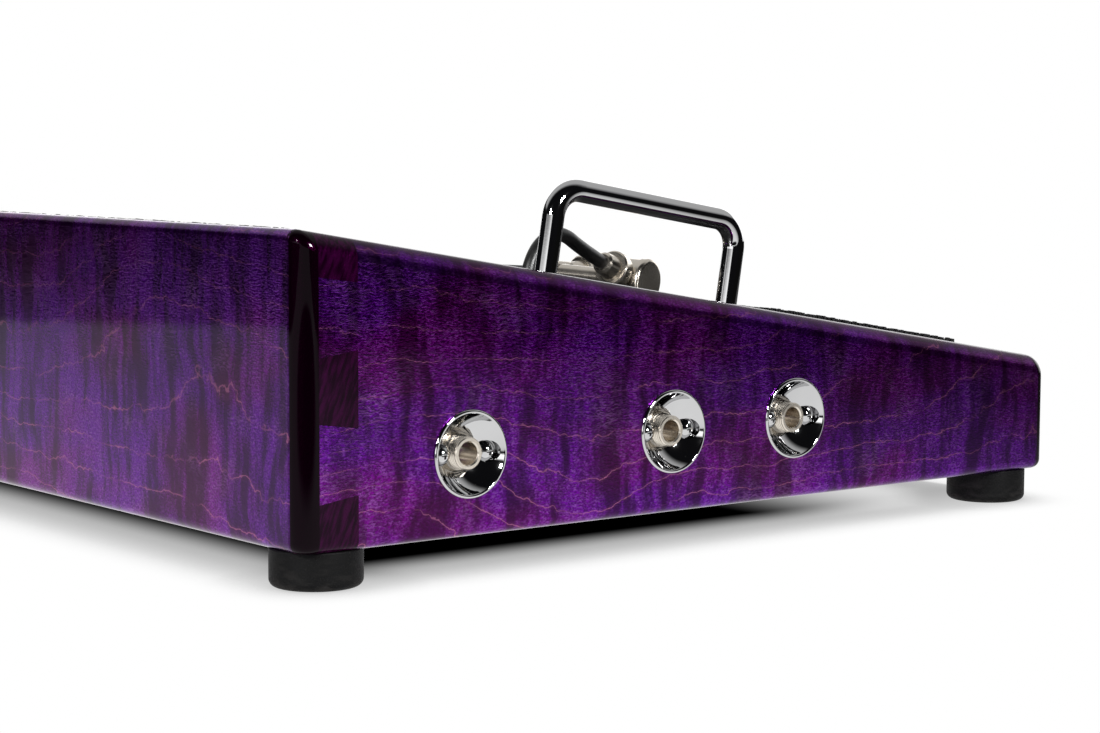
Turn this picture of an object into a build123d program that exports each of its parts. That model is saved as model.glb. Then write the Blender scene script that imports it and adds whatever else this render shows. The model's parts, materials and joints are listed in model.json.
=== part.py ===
"""Wedge-shaped hardwood pedalboard: dovetailed frame, sloping carpeted deck, carrying handles,
three side jacks in recessed cups, two short patch leads and four rubber feet.

Frame of the part: millimetres, +Z up, origin on the floor under the middle of the board.
+X runs along the board to its right side, -Y is the low front edge that faces the player.
"""
import math
import os

from build123d import *

# ---------------------------------------------------------------- driving dimensions
WIDTH = 660.4          # outside, left to right
DEPTH = 304.8          # outside, front to rear
REAR_HEIGHT = 88.9     # of the frame, without feet
FRONT_HEIGHT = 38.1
PANEL = 19.05          # thickness of the frame's boards
CORNER_RADIUS = 6.0    # upright outside corners
EDGE_RADIUS = 3.0      # long outside edges
FRONT_EDGE_RADIUS = 7.5   # top edge at the front, under the player's foot
INNER_EDGE_RADIUS = 1.5

DOVETAIL_LAP = 6.35    # wood of the rear panel left behind the tails
TAIL_MIDDLES = (24.6, 64.5)   # above the frame's underside
TAIL_END = 21.9        # height of a tail at its free end
TAIL_ROOT = 18.4       # and where it leaves the side panel
FRONT_LAP = 9.5        # wood of a side panel that covers the front panel's end

DECK_THICKNESS = 6.35
DECK_DROP = 1.0        # deck's face below the frame's top
DECK_GAP = 0.4
CLEAT = 12.7           # square section
RIB = 12.7
RIB_LIFT = 8.0         # rib's lower edge above the frame's underside
CARPET_THICKNESS = 4.0

SLOT_WIDTH = 24.0      # cable slots through the deck
SLOT_LENGTH = 172.0
SLOT_INSET = 58.0      # from the board's side to the slot's end
SLOT_BACK = 130.5      # middle of the slots, from the board's rear

CARPET_REAR = (46.0, 23.0, 112.0)     # side inset, rear edge, front edge
CARPET_FRONT = (22.0, 197.5, 282.5)

HANDLE_ROD = 7.0       # diameter
HANDLE_SPAN = 76.2     # between the legs' middles
HANDLE_HEIGHT = 32.0   # above the frame's top
HANDLE_BEND = 9.0      # at the rod's middle
HANDLE_INSET = 39.0    # from the board's side
HANDLE_BLOCK = (25.0, 100.0, 12.7)

FOOT_DIAMETER = 26.5
FOOT_HEIGHT = 11.1
FOOT_INSET = 14.6
FOOT_EDGE = 2.2
CORNER_BLOCK = 26.0

JACK_BACK = (57.15, 133.35, 184.15)   # jack middles, from the board's rear
JACK_LIFT = (23.8, 24.8, 25.4)        # and above the frame's underside
CUP_RIM = 12.7         # radius
CUP_BODY = 12.0
CUP_PROUD = 0.8
CUP_DEPTH = 8.0
BOWL_MOUTH = 11.6      # radius of the bowl at the rim
BOWL_DEPTH = 6.2
BARREL = 4.7625        # radius of the 3/8 in thread
BARREL_START = 0.6     # barrel's mouth below the panel's face
BARREL_FLANGE = 6.5
JACK_BORE = 3.25
THREAD_PITCH = 0.79
THREAD_DEPTH = 0.4
POCKET_FLOOR = 14.0    # depth of the wood under a jack, from the outside face
POCKET_SIZE = (26.0, 27.0)
CUP_SCREW_OFFSET = 7.9
CUP_SCREW_SEAT = 3.2
CUP_SCREW_HEAD = 3.05
CUP_SCREW_SHANK = 1.45

LEAD_DIAMETER = 4.6
HEAD_RADIUS = 7.4      # of a plug's round head
CAP_RADIUS = 7.75
HEAD_LENGTH = 11.0
CAP_LENGTH = 2.8
ENTRY = 18.8           # from the head's middle to where the lead enters the collar
FINGER = 3.175         # radius of a quarter-inch plug

# ---------------------------------------------------------------- derived places
LEFT = -WIDTH / 2
REAR = DEPTH / 2
FRONT = -DEPTH / 2
BASE = FOOT_HEIGHT
SLOPE = math.atan2(REAR_HEIGHT - FRONT_HEIGHT, DEPTH)
RISE = math.tan(SLOPE)
FACE = -DECK_DROP                       # deck's face, measured square to the frame's top
UNDER = FACE - DECK_THICKNESS           # deck's underside


def top_z(y):
    """Height of the frame's sloping top at y."""
    return BASE + FRONT_HEIGHT + (y - FRONT) * RISE


def on_top(inset, back, lift):
    """A point given from the left side, from the rear, and square to the frame's top."""
    y = REAR - back
    return Vector(
        LEFT + inset,
        y - lift * math.sin(SLOPE),
        top_z(y) + lift * math.cos(SLOPE),
    )


def top_plane(inset, back, lift=0.0):
    """A plane on the slope: its x runs to the right and its z stands square to the top."""
    normal = (0, -math.sin(SLOPE), math.cos(SLOPE))
    return Plane(origin=on_top(inset, back, lift), x_dir=(1, 0, 0), z_dir=normal)


def block(x, y, z):
    """A box from its low and high coordinates along each axis."""
    size = (x[1] - x[0], y[1] - y[0], z[1] - z[0])
    middle = ((x[0] + x[1]) / 2, (y[0] + y[1]) / 2, (z[0] + z[1]) / 2)
    return Pos(*middle) * Box(*size)


def slab(x, y, lift):
    """A sloping slab with upright ends, between two heights measured square to the top."""
    low, high = (value / math.cos(SLOPE) for value in lift)
    points = [
        (y[0], top_z(y[0]) + low),
        (y[1], top_z(y[1]) + low),
        (y[1], top_z(y[1]) + high),
        (y[0], top_z(y[0]) + high),
    ]
    profile = Plane.YZ.offset(x[0]) * make_face(Polyline(*points, close=True))
    return extrude(profile, x[1] - x[0], dir=(1, 0, 0))


def turned(points):
    """A solid turned about the x axis from (x, radius) points."""
    return revolve(make_face(Polyline(*points, close=True)), Axis.X)


def mirrored(shape):
    """The same piece on the other side of the board."""
    return mirror(shape, about=Plane.YZ)


class Screw:
    """A screw in its place, with the plain body that drills its hole."""

    def __init__(self, body, recess, place):
        self.drill = place * body
        self.shape = place * (body - recess)

    def mirrored(self):
        twin = object.__new__(Screw)
        twin.drill = mirrored(self.drill)
        twin.shape = mirrored(self.shape)
        return twin


# ---------------------------------------------------------------- frame
def on_slope(face):
    """Whether a face lies on the frame's sloping top."""
    return abs(face.normal_at().Z - math.cos(SLOPE)) < 1e-4


def frame_ring():
    """The whole frame before it is divided into its four boards."""
    points = [
        (FRONT, BASE),
        (REAR, BASE),
        (REAR, BASE + REAR_HEIGHT),
        (FRONT, BASE + FRONT_HEIGHT),
    ]
    outline = make_face(Polyline(*points, close=True))
    front_top = outline.vertices().sort_by_distance((FRONT, BASE + FRONT_HEIGHT))[0]
    outline = fillet(front_top, FRONT_EDGE_RADIUS)
    outside = extrude(Plane.YZ.offset(LEFT) * outline, WIDTH, dir=(1, 0, 0))
    outside = fillet(outside.edges().filter_by(Axis.Z), CORNER_RADIUS)
    top = outside.faces().filter_by(on_slope).sort_by(SortBy.AREA)[-1]
    bottom = outside.faces().sort_by(Axis.Z)[0]
    front_line = top.edges().sort_by(Axis.Y)[0]
    outside = fillet((top.edges() - [front_line]) + bottom.edges(), EDGE_RADIUS)
    hollow = block(
        (LEFT + PANEL, -LEFT - PANEL),
        (FRONT + PANEL, REAR - PANEL),
        (BASE - 5, BASE + REAR_HEIGHT + 5),
    )
    ring = outside - hollow
    mouth = ring.faces().filter_by(on_slope).sort_by(SortBy.AREA)[-1].inner_wires()
    return fillet(mouth.edges(), INNER_EDGE_RADIUS)


def tails():
    """The two dovetails at the left side panel's rear end, flared towards the rear."""
    result = None
    for middle in TAIL_MIDDLES:
        z = BASE + middle
        root = REAR - PANEL
        end = REAR - DOVETAIL_LAP
        points = [
            (root, z - TAIL_ROOT / 2),
            (end, z - TAIL_END / 2),
            (end, z + TAIL_END / 2),
            (root, z + TAIL_ROOT / 2),
        ]
        face = Plane.YZ.offset(LEFT) * make_face(Polyline(*points, close=True))
        tail = extrude(face, PANEL, dir=(1, 0, 0))
        result = tail if result is None else result + tail
    return result


def tall(x, y):
    """A block over the frame's full height."""
    return block(x, y, (BASE - 1, BASE + REAR_HEIGHT + 1))


def left_side_region():
    """Everything of the frame that belongs to the left side panel."""
    board = tall((LEFT - 1, LEFT + PANEL), (FRONT - 1, REAR - PANEL))
    lap = tall((LEFT + FRONT_LAP, LEFT + PANEL), (FRONT - 1, FRONT + PANEL))
    return board + tails() - lap


def frame_boards():
    ring = frame_ring()
    left_region = left_side_region()
    sides = left_region + mirrored(left_region)
    rear = tall((LEFT - 1, 1 - LEFT), (REAR - PANEL, REAR + 1))
    front_span = -LEFT - FRONT_LAP
    front = tall((-front_span, front_span), (FRONT - 1, FRONT + PANEL))
    return {
        "left_panel": ring & left_region,
        "right_panel": ring & mirrored(left_region),
        "rear_panel": (ring & rear) - sides,
        "front_panel": ring & front,
    }


def corner_block(back, height):
    """A three-cornered glue block in a lower left inside corner; back is +1 at the rear."""
    y = REAR - PANEL if back > 0 else FRONT + PANEL
    points = [
        (LEFT + PANEL, y),
        (LEFT + PANEL + CORNER_BLOCK, y),
        (LEFT + PANEL, y - back * CORNER_BLOCK),
    ]
    face = Plane.XY.offset(BASE) * make_face(Polyline(*points, close=True))
    return extrude(face, height, dir=(0, 0, 1))


def cleats():
    """Strips under the deck's four edges, and the rib under its middle."""
    x = -LEFT - PANEL
    y = REAR - PANEL
    lift = (UNDER - CLEAT, UNDER)
    rear = slab((-x, x), (y - CLEAT, y), lift)
    front = slab((-x, x), (-y, CLEAT - y), lift)
    left = slab((-x, CLEAT - x), (CLEAT - y, y - CLEAT), lift)
    low = BASE + RIB_LIFT
    rib_points = [
        (-y, low),
        (y, low),
        (y, top_z(y) + UNDER / math.cos(SLOPE)),
        (-y, top_z(-y) + UNDER / math.cos(SLOPE)),
    ]
    face = Plane.YZ.offset(-RIB / 2) * make_face(Polyline(*rib_points, close=True))
    rib = extrude(face, RIB, dir=(1, 0, 0)) - rear - front
    for back, radius in ((90.0, 14.0), (170.0, 11.0)):
        hole_y = REAR - back
        hole_z = (low + top_z(hole_y)) / 2 - 4
        rib -= Pos(0, hole_y, hole_z) * Rot(0, 90, 0) * Cylinder(radius, 2 * RIB)
    return {
        "cleat_rear": rear,
        "cleat_front": front,
        "cleat_left": left,
        "cleat_right": mirrored(left),
        "centre_rib": rib,
    }


# ---------------------------------------------------------------- deck
def deck_board():
    x = -LEFT - PANEL - DECK_GAP
    y = REAR - PANEL - DECK_GAP
    board = slab((-x, x), (-y, y), (UNDER, FACE))
    slot = SlotOverall(SLOT_LENGTH, SLOT_WIDTH)
    place = top_plane(SLOT_INSET + SLOT_LENGTH / 2, SLOT_BACK, 5)
    cutter = extrude(place * slot, -20)
    return board - cutter - mirrored(cutter)


def carpet(inset, back_from, back_to):
    """A piece of loop carpet glued to the deck."""
    x = -LEFT - inset
    y = (REAR - back_to, REAR - back_from)
    return slab((-x, x), y, (FACE, FACE + CARPET_THICKNESS))


def cross_recess(z, reach=5.0):
    """A cross-shaped driver recess around the height z."""
    return Pos(0, 0, z) * (Box(0.9, reach, 1.8) + Box(reach, 0.9, 1.8))


def countersunk_screw(head, shank, length):
    """Head's face at z = 0, shank pointing down."""
    cone = Pos(0, 0, -(head - shank) / 2) * Cone(shank, head, head - shank)
    return cone + Pos(0, 0, -length / 2) * Cylinder(shank, length)


def deck_screws():
    """Screws down through the deck into the cleats."""
    screw = countersunk_screw(3.4, 1.6, 15.0)
    edge = PANEL + CLEAT / 2
    places = [(edge, back) for back in (60.0, 100.0, 205.0, 262.0)]
    places += [(inset, edge) for inset in (90.0, 230.0)]
    places += [(inset, DEPTH - edge) for inset in (90.0, 230.0)]
    left = [Screw(screw, cross_recess(0), top_plane(inset, back, FACE)) for inset, back in places]
    return left + [one.mirrored() for one in left]


# ---------------------------------------------------------------- handles
def handle():
    """A bent rod that stands square to the deck, its legs in line with the board's side."""
    half = HANDLE_SPAN / 2
    crown = HANDLE_HEIGHT - HANDLE_ROD / 2
    middle = DEPTH / 2
    plane = top_plane(HANDLE_INSET, middle)
    points = [(0, -half, FACE), (0, -half, crown), (0, half, crown), (0, half, FACE)]
    path = plane * FilletPolyline(*points, radius=HANDLE_BEND)
    start = Plane(origin=path @ 0, z_dir=path % 0)
    return sweep(start * Circle(HANDLE_ROD / 2), path)


def handle_block():
    """A hardwood pad under the deck that spreads the handle's pull."""
    wide, deep, thick = HANDLE_BLOCK
    plane = top_plane(PANEL + CLEAT + wide / 2, DEPTH / 2, UNDER - thick / 2)
    return plane * Box(wide, deep, thick)


def handle_fixings():
    """A washer and a pan-head machine screw from below into each leg of the left handle."""
    wide, deep, thick = HANDLE_BLOCK
    bottom = UNDER - thick
    washers = []
    screws = []
    for side in (-1, 1):
        plane = top_plane(HANDLE_INSET, DEPTH / 2 + side * HANDLE_SPAN / 2 * math.cos(SLOPE), bottom)
        washer = Pos(0, 0, -0.5) * (Cylinder(4.9, 1.0) - Cylinder(2.0, 1.0))
        head = Pos(0, 0, -2.2) * fillet(Cylinder(3.9, 2.4).edges().sort_by(Axis.Z)[0], 1.0)
        shank_top = thick + DECK_THICKNESS + 12.0
        shank = Pos(0, 0, (shank_top - 1.0) / 2) * Cylinder(2.0, shank_top + 1.0)
        washers.append(plane * washer)
        screws.append(Screw(head + shank, cross_recess(-3.4), plane))
    return washers, screws


# ---------------------------------------------------------------- feet
def foot_places():
    x = -LEFT - FOOT_INSET
    y = REAR - FOOT_INSET
    return {
        "rear_left": (-x, y),
        "rear_right": (x, y),
        "front_left": (-x, -y),
        "front_right": (x, -y),
    }


def foot():
    """A rubber foot with a well from below for its washer and screw."""
    body = Pos(0, 0, FOOT_HEIGHT / 2) * Cylinder(FOOT_DIAMETER / 2, FOOT_HEIGHT)
    body = fillet(body.edges().sort_by(Axis.Z)[0], FOOT_EDGE)
    body = fillet(body.edges().sort_by(Axis.Z)[-1], 0.5)
    well = Pos(0, 0, 3) * Cylinder(6.5, 6.0)
    hole = Pos(0, 0, FOOT_HEIGHT / 2) * Cylinder(2.1, FOOT_HEIGHT + 1)
    return body - well - hole


def foot_washer():
    return Pos(0, 0, 5.5) * (Cylinder(5.8, 1.0) - Cylinder(2.1, 1.0))


def foot_screw(place):
    head = Pos(0, 0, 3.8) * fillet(Cylinder(4.0, 2.4).edges().sort_by(Axis.Z)[0], 1.1)
    length = FOOT_HEIGHT - 5.0 + 16.0
    shank = Pos(0, 0, 5.0 + length / 2) * Cylinder(2.1, length)
    return Screw(head + shank, cross_recess(2.6), place)


# ---------------------------------------------------------------- jacks
# A jack is drawn with x running inwards from the panel's outside face, on the jack's own axis.
def jack_place(number):
    return Pos(LEFT, REAR - JACK_BACK[number], BASE + JACK_LIFT[number])


def bowl_x(radius):
    """Depth of the bowl's surface at a radius."""
    ball = (BOWL_MOUTH ** 2 + BOWL_DEPTH ** 2) / (2 * BOWL_DEPTH)
    sag = ball - math.sqrt(ball ** 2 - radius ** 2)
    return BOWL_DEPTH - CUP_PROUD + 0.3 - sag


def jack_cup():
    """A turned cup with a rounded rim and a ball-shaped bowl, tapped for the jack's barrel."""
    lip = (CUP_RIM + BOWL_MOUTH) / 2
    outline = Polyline(
        (bowl_x(BARREL), BARREL),
        (CUP_DEPTH, BARREL),
        (CUP_DEPTH, CUP_BODY - 0.8),
        (CUP_DEPTH - 0.8, CUP_BODY),
        (0, CUP_BODY),
        (0, CUP_RIM),
    )
    rim = ThreePointArc((0, CUP_RIM), (-CUP_PROUD, lip), (bowl_x(BOWL_MOUTH), BOWL_MOUTH))
    half = (BARREL + BOWL_MOUTH) / 2
    bowl = ThreePointArc(
        (bowl_x(BOWL_MOUTH), BOWL_MOUTH), (bowl_x(half), half), (bowl_x(BARREL), BARREL)
    )
    cup = revolve(make_face(outline + rim + bowl), Axis.X)
    for side in (-1, 1):
        seat = Pos(CUP_SCREW_SEAT - 5, side * CUP_SCREW_OFFSET, 0) * Rot(0, 90, 0)
        cup -= seat * Cylinder(CUP_SCREW_HEAD + 0.12, 10)
    return cup


def cup_screw(place):
    """A dome-head cross-recessed wood screw, its head's seat on the x = 0 plane."""
    dome_height = 2.1
    ball = (CUP_SCREW_HEAD ** 2 + dome_height ** 2) / (2 * dome_height)
    dome = Pos(ball - dome_height, 0, 0) * Sphere(ball)
    head = dome & block((-5, 0), (-5, 5), (-5, 5))
    length = 9.2
    shank = turned([(0, 0), (0, CUP_SCREW_SHANK), (length - 2.5, CUP_SCREW_SHANK), (length, 0)])
    slot = 0.75
    reach = 1.7
    point = -dome_height + 1.3
    blade = make_face(Polyline((-3, -reach), (point, -0.5), (point, 0.5), (-3, reach), close=True))
    wing = extrude(blade, slot / 2, both=True)
    return Screw(head + shank, wing + Rot(90, 0, 0) * wing, place)


def jack_bushing():
    """The threaded barrel with its back flange, bored for a quarter-inch plug."""
    back = POCKET_FLOOR + 3.0
    points = [(BARREL_START + 0.4, JACK_BORE), (BARREL_START, JACK_BORE + 0.4)]
    points += [(BARREL_START, BARREL - 0.35), (BARREL_START + 0.35, BARREL)]
    x = BARREL_START + 0.55
    while x + THREAD_PITCH < bowl_x(BARREL) + 0.1:
        middle = x + THREAD_PITCH / 2
        points += [(x + 0.08, BARREL), (middle, BARREL - THREAD_DEPTH)]
        points += [(x + THREAD_PITCH - 0.08, BARREL)]
        x += THREAD_PITCH
    points += [(back - 1.2, BARREL), (back - 1.2, BARREL_FLANGE), (back, BARREL_FLANGE)]
    points += [(back, JACK_BORE)]
    return turned(points)


def jack_washer():
    """A toothed lock washer between the wood and the jack's frame."""
    ring = Rot(0, 90, 0) * (Cylinder(7.8, 0.6) - Cylinder(BARREL + 0.15, 0.6))
    tooth = Pos(0, 7.6, 0) * Box(1, 1.6, 1.2)
    for step in range(12):
        ring -= Rot(step * 30, 0, 0) * tooth
    return Pos(POCKET_FLOOR + 0.3, 0, 0) * ring


STACK_X = (17.4, 22.2)     # contact stack, along the jack
STACK_FLOOR = -9.3         # arm's upper face, below the jack's axis
WAFER = 0.8
STRIP = 0.5
RIVET_X = 19.7


def jack_frame():
    """A plate on the barrel with an arm bent back under the contact stack."""
    plate_x = (POCKET_FLOOR + 0.6, POCKET_FLOOR + 1.8)
    plate = block(plate_x, (-8, 8), (STACK_FLOOR - 1.2, 8.5))
    plate -= Pos(plate_x[0], 0, 0) * Rot(0, 90, 0) * Cylinder(BARREL, 6)
    plate = chamfer(plate.edges().filter_by(Axis.X).sort_by(Axis.Z)[-2:], 2.5)
    arm = block((plate_x[0], STACK_X[1] + 0.6), (-4.5, 4.5), (STACK_FLOOR - 1.2, STACK_FLOOR))
    frame = plate + arm
    return frame - Pos(RIVET_X, 0, STACK_FLOOR) * Cylinder(1.0, 6)


def jack_wafers():
    """Insulating wafers above and below the tip contact's strip."""
    lower = block(STACK_X, (-4, 4), (STACK_FLOOR, STACK_FLOOR + WAFER))
    wafers = lower + Pos(0, 0, WAFER + STRIP) * lower
    return wafers - Pos(RIVET_X, 0, STACK_FLOOR) * Cylinder(1.0, 8)


def jack_lug(side):
    """The tip contact's strip in the stack, with a solder tab out to one side."""
    z = (STACK_FLOOR + WAFER, STACK_FLOOR + WAFER + STRIP)
    strip = block((STACK_X[0] + 0.3, STACK_X[1]), (-2.2, 2.2), z)
    reach = sorted((0, side * 10.5))
    tab = block((17.9, 21.0), reach, z)
    along = block((17.9, 26.0), sorted((side * 8.3, side * 10.7)), z)
    return strip + tab + along - Pos(RIVET_X, 0, STACK_FLOOR) * Cylinder(1.0, 8)


def stack_rivet():
    low = STACK_FLOOR - 1.2
    high = STACK_FLOOR + 2 * WAFER + STRIP
    shank = Pos(RIVET_X, 0, (low + high) / 2) * Cylinder(1.0, high - low)
    head = Cylinder(1.8, 0.6)
    return shank + Pos(RIVET_X, 0, low - 0.3) * head + Pos(RIVET_X, 0, high + 0.3) * head


def tip_spring():
    """The part of the tip contact that flexes: a leaf that rises to a knee under the plug's tip."""
    z = STACK_FLOOR + WAFER + STRIP / 2
    start = STACK_X[1] + 0.3
    points = [(start, z), (26.4, z + 0.3), (28.6, -2.1), (31.2, -2.1), (33.8, z + 1.6)]
    leaf = Plane.XZ * trace(FilletPolyline(*points, radius=0.9), line_width=0.45)
    return extrude(leaf, 2.2, both=True)


# ---------------------------------------------------------------- patch leads
def lead_route(points):
    """Straight runs joined by arcs as large as the runs allow, swept with a round section."""
    corners = []
    for before, here, after in zip(points, points[1:], points[2:]):
        turn = math.radians((here - before).get_angle(after - here))
        shorter = min((here - before).length, (after - here).length)
        corners.append(0.45 * shorter / math.tan(turn / 2))
    return FilletPolyline(*points, radius=corners), corners


def lead(name, points):
    path, radii = lead_route(points)
    start = Plane(origin=path @ 0, z_dir=path % 0)
    tube = sweep(start * Circle(LEAD_DIAMETER / 2), path)
    ideal = math.pi * LEAD_DIAMETER ** 2 / 4 * path.length
    shown = ", ".join(f"{radius:.1f}" for radius in radii)
    print(f"{name}: length {path.length:.1f}, radii {shown}, volume/ideal {tube.volume / ideal:.4f}")
    return tube


def lug_end(number, side):
    """Middle of the solder tab's free end, where a lead starts."""
    z = STACK_FLOOR + WAFER + STRIP / 2
    return jack_place(number) * Pos(26.0, side * 9.5, z)


class Plug:
    """Where a right-angle plug lies: its finger along x, its lead leaving along y.

    The round head rests on its side at the given place, turned by swing from the line that
    runs square to the board's rear, and its lead rises from the slope by tilt.
    """

    def __init__(self, inset, back, seat, swing, tilt):
        self.place = top_plane(inset, back, seat + CAP_RADIUS) * Rot(0, 0, swing) * Rot(tilt, 0, 0)

    def along(self, distance):
        """A point on the lead's line, from the head's middle."""
        return (self.place * Pos(0, distance, 0)).position

    def pieces(self):
        towards_lead = Rot(0, 0, 90)
        collar = turned([
            (12.8, 0), (12.8, 4.4), (13.8, 4.4), (18.0, 3.7), (ENTRY, 2.9), (ENTRY, 0),
        ])
        ring = turned([
            (8.1, 0), (8.1, 5.7), (8.6, 6.2), (12.3, 6.2), (12.8, 5.7), (12.8, 0),
        ])
        neck = turned([(0, 0), (0, 4.6), (8.1, 4.6), (8.1, 0)])
        half = HEAD_LENGTH / 2
        barrel = fillet((Rot(0, 90, 0) * Cylinder(HEAD_RADIUS, HEAD_LENGTH)).edges()
                        .sort_by(Axis.X)[-1], 0.8)
        cap = Pos(-half - CAP_LENGTH / 2, 0, 0) * Rot(0, 90, 0) * Cylinder(CAP_RADIUS, CAP_LENGTH)
        cap = fillet(cap.edges().sort_by(Axis.X)[0], 1.3)
        sleeve = turned([(half, 0), (half, FINGER), (half + 22, FINGER), (half + 22, 0)])
        washer = turned([
            (half + 22, 0), (half + 22, FINGER), (half + 23, FINGER), (half + 23, 0),
        ])
        tip = Pos(half + 23, 0, 0) * turned([
            (0, 0), (0, 2.3), (1.0, 2.3), (2.6, 3.17), (4.2, 3.17), (7.0, 1.3), (7.6, 0.6), (7.6, 0),
        ])
        return {
            "collar": self.place * towards_lead * collar,
            "ring": self.place * towards_lead * ring,
            "head": self.place * (barrel + towards_lead * neck),
            "cap": self.place * cap,
            "sleeve": self.place * sleeve,
            "insulator": self.place * washer,
            "tip": self.place * tip,
        }


def plug_a():
    """The nearer plug lies on the bare deck."""
    return Plug(83.0, 185.0, FACE, 17.5, 12.0)


def plug_b():
    """The farther plug lies on the front carpet."""
    return Plug(132.0, 214.0, FACE + CARPET_THICKNESS, 6.0, -7.0)


def lead_a_points():
    """From the middle jack, up through the slot and over in an arch that falls to its plug."""
    start = lug_end(1, -1).position
    return [
        start,
        start + Vector(13, 0, 0),
        on_top(54, 140.5, -45),
        on_top(62, 138, -31),
        on_top(65, 131.5, -16),
        on_top(65, 127.3, -1.5),
        on_top(66.5, 131, 11.5),
        on_top(70, 142.5, 18),
        plug_a().along(ENTRY + 13),
        plug_a().along(ENTRY),
    ]


def lead_b_points():
    """From the front jack, under the deck, up through the slot and low over the deck."""
    start = lug_end(2, 1).position
    return [
        start,
        start + Vector(16, 0, 0),
        start + Vector(37, 5, 4),
        start + Vector(62, 17, 10),
        on_top(107, 137, -25),
        on_top(115, 129.6, -19),
        on_top(121, 129.3, -8.3),
        on_top(125, 137, 1.6),
        on_top(128, 149.3, 3.5),
        plug_b().along(ENTRY + 14),
        plug_b().along(ENTRY),
    ]


# ---------------------------------------------------------------- assembly
def drilled(piece, screws):
    """The piece with a hole for every screw that passes through it."""
    box = piece.bounding_box()
    for screw in screws:
        other = screw.drill.bounding_box()
        apart = (
            other.min.X > box.max.X or other.max.X < box.min.X
            or other.min.Y > box.max.Y or other.max.Y < box.min.Y
            or other.min.Z > box.max.Z or other.max.Z < box.min.Z
        )
        if not apart:
            piece = piece - screw.drill
    return piece


def jack_cutters(number):
    """What a jack takes out of the left panel: the cup's seat, the barrel's hole, the pocket."""
    seat = Rot(0, 90, 0) * Pos(0, 0, CUP_DEPTH / 2 - 5) * Cylinder(CUP_BODY + 0.1, CUP_DEPTH + 10)
    hole = Rot(0, 90, 0) * Pos(0, 0, 8) * Cylinder(BARREL + 0.25, 20)
    deep, tall_size = POCKET_SIZE
    pocket = block((POCKET_FLOOR, PANEL + 5), (-deep / 2, deep / 2), (-15.0, tall_size - 15.0))
    pocket = fillet(pocket.edges().filter_by(Axis.X), 4.0)
    return jack_place(number) * (seat + hole + pocket)


def assembly():
    nodes = frame_boards()
    nodes.update(cleats())
    nodes["deck_board"] = deck_board()
    nodes["carpet_rear"] = carpet(*CARPET_REAR)
    nodes["carpet_front"] = carpet(*CARPET_FRONT)
    for back, height, word in ((1, 34.0, "rear"), (-1, 14.0, "front")):
        one = corner_block(back, height)
        nodes[f"corner_block_{word}_left"] = one
        nodes[f"corner_block_{word}_right"] = mirrored(one)

    nodes["handle_left"] = handle()
    nodes["handle_right"] = mirrored(nodes["handle_left"])
    nodes["handle_block_left"] = handle_block()
    nodes["handle_block_right"] = mirrored(nodes["handle_block_left"])
    washers, screws = handle_fixings()
    handle_screws = screws + [one.mirrored() for one in screws]
    handle_washers = washers + [mirrored(one) for one in washers]

    foot_screws = []
    foot_washers = []
    for word, (x, y) in foot_places().items():
        nodes[f"foot_{word}"] = Pos(x, y, 0) * foot()
        foot_washers.append(Pos(x, y, 0) * foot_washer())
        foot_screws.append(foot_screw(Pos(x, y, 0)))

    cup_screws = []
    groups = {"jack_washers": [], "jack_wafers": [], "jack_rivets": [], "jack_lugs": []}
    for number in range(3):
        place = jack_place(number)
        pair = []
        for side in (-1, 1):
            pair.append(cup_screw(place * Pos(CUP_SCREW_SEAT, side * CUP_SCREW_OFFSET, 0)))
        cup_screws += pair
        nodes[f"jack_cup_{number + 1}"] = drilled(place * jack_cup(), pair)
        nodes[f"jack_bushing_{number + 1}"] = place * jack_bushing()
        nodes[f"jack_frame_{number + 1}"] = place * jack_frame()
        nodes[f"tip_spring_{number + 1}"] = place * tip_spring()
        groups["jack_washers"].append(place * jack_washer())
        groups["jack_wafers"].append(place * jack_wafers())
        groups["jack_rivets"].append(place * stack_rivet())
        groups["jack_lugs"].append(place * jack_lug(1 if number == 2 else -1))
        nodes["left_panel"] -= jack_cutters(number)

    screws_down = deck_screws()
    fixings = screws_down + handle_screws + foot_screws + cup_screws
    for name in list(nodes):
        if name.startswith(("tip_", "jack_", "foot_")):
            continue
        nodes[name] = drilled(nodes[name], fixings)

    groups["plug_insulators"] = []
    groups["plug_tips"] = []
    for letter, plug, points in (("a", plug_a(), lead_a_points()), ("b", plug_b(), lead_b_points())):
        nodes[f"lead_{letter}"] = lead(f"lead_{letter}", points)
        pieces = plug.pieces()
        groups["plug_insulators"].append(pieces.pop("insulator"))
        groups["plug_tips"].append(pieces.pop("tip"))
        for word, piece in pieces.items():
            nodes[f"plug_{letter}_{word}"] = piece

    groups["deck_screws"] = screws_down
    groups["handle_screws"] = handle_screws
    groups["handle_washers"] = handle_washers
    groups["foot_screws"] = foot_screws
    groups["foot_washers"] = foot_washers
    groups["cup_screws"] = cup_screws
    for name, pieces in groups.items():
        shapes = [piece.shape if isinstance(piece, Screw) else piece for piece in pieces]
        nodes[name] = Compound(children=[solid for shape in shapes for solid in shape.solids()])
    return nodes


os.makedirs("parts", exist_ok=True)
for node, shape in assembly().items():
    export_step(shape, f"parts/{node}.step")
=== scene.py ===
"""Looks of the dyed-maple pedalboard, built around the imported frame. Metres, in the part's own axes."""
import json
import math

import bpy
import numpy as np
from mathutils import Matrix, Vector


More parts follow.
